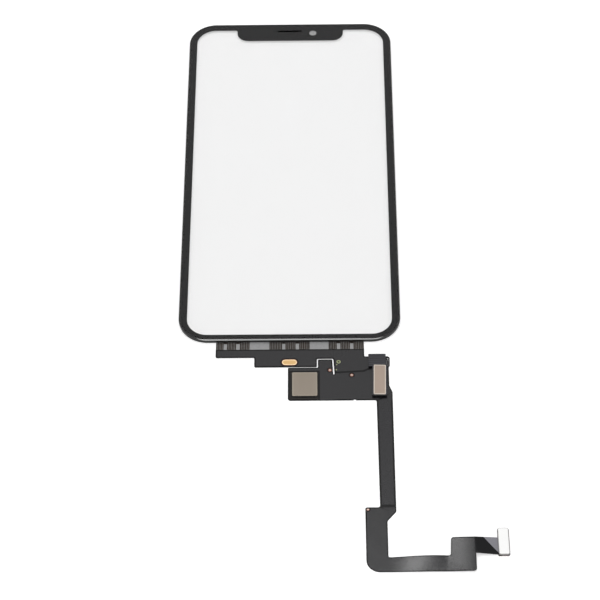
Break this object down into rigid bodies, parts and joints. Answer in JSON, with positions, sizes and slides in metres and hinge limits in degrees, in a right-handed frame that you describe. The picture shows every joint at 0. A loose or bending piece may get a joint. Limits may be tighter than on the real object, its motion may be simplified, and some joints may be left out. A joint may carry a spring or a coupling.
{
  "type": "phone touch panel with flex circuits",
  "caption": "Flat cover glass of a notched phone with a black border, a clear window and flex circuits that carry a controller, a board connector and a capped tail.",
  "frame": {"origin": "centre of the panel on its rear bonding face", "axes": "+Z out of the rear face up through the glass, +Y towards the earpiece slot, the flex circuits leave at -Y"},
  "size_m": [0.0968, 0.2259, 0.0018],
  "materials": {
    "clear_glass": "polished",
    "border_ink": "gloss",
    "clear_adhesive": "clear",
    "sensor_film": "clear",
    "black_mesh": "blackened",
    "frame_plastic": "satin",
    "black_tape": "matte",
    "clear_film": "clear",
    "dark_film": "satin",
    "black_coverlay": "satin",
    "copper": "bright",
    "dull_copper": "dull",
    "gold": "plated",
    "mark_ink": "matte",
    "package_moulding": "matte",
    "underfill_resin": "gloss",
    "steel_plate": "brushed",
    "connector_moulding": "matte",
    "stiffener_plate": "brushed",
    "white_cap": "matte",
    "tin_contacts": "bright"
  },
  "bodies": {
    "root": {"bezel_frame": "frame_plastic", "bond_coverlay": "black_coverlay", "bond_film": "clear_film", "bond_strip": "dull_copper", "bond_traces": "dull_copper", "border_print": "border_ink", "connector_plate": "steel_plate", "controller_coverlay": "black_coverlay", "controller_film": "dark_film", "controller_plate": "steel_plate", "cover_glass": "clear_glass", "ear_ring": "black_coverlay", "earpiece_mesh": "black_mesh", "frame_tape": "black_tape", "front_adhesive": "clear_adhesive", "ground_pad": "gold", "placing_marks": "mark_ink", "plug_body": "connector_moulding", "plug_contacts": "tin_contacts", "plug_strip": "black_coverlay", "protective_cap": "white_cap", "rear_adhesive": "clear_adhesive", "receptacle_body": "connector_moulding", "receptacle_contacts": "tin_contacts", "tail_connector": "connector_moulding", "tail_contacts": "tin_contacts", "tail_overlay": "black_coverlay", "tail_stiffener": "stiffener_plate", "test_pads": "copper", "touch_controller": "package_moulding", "touch_sensor": "sensor_film", "underfill": "underfill_resin"}
  },
  "joints": []
}
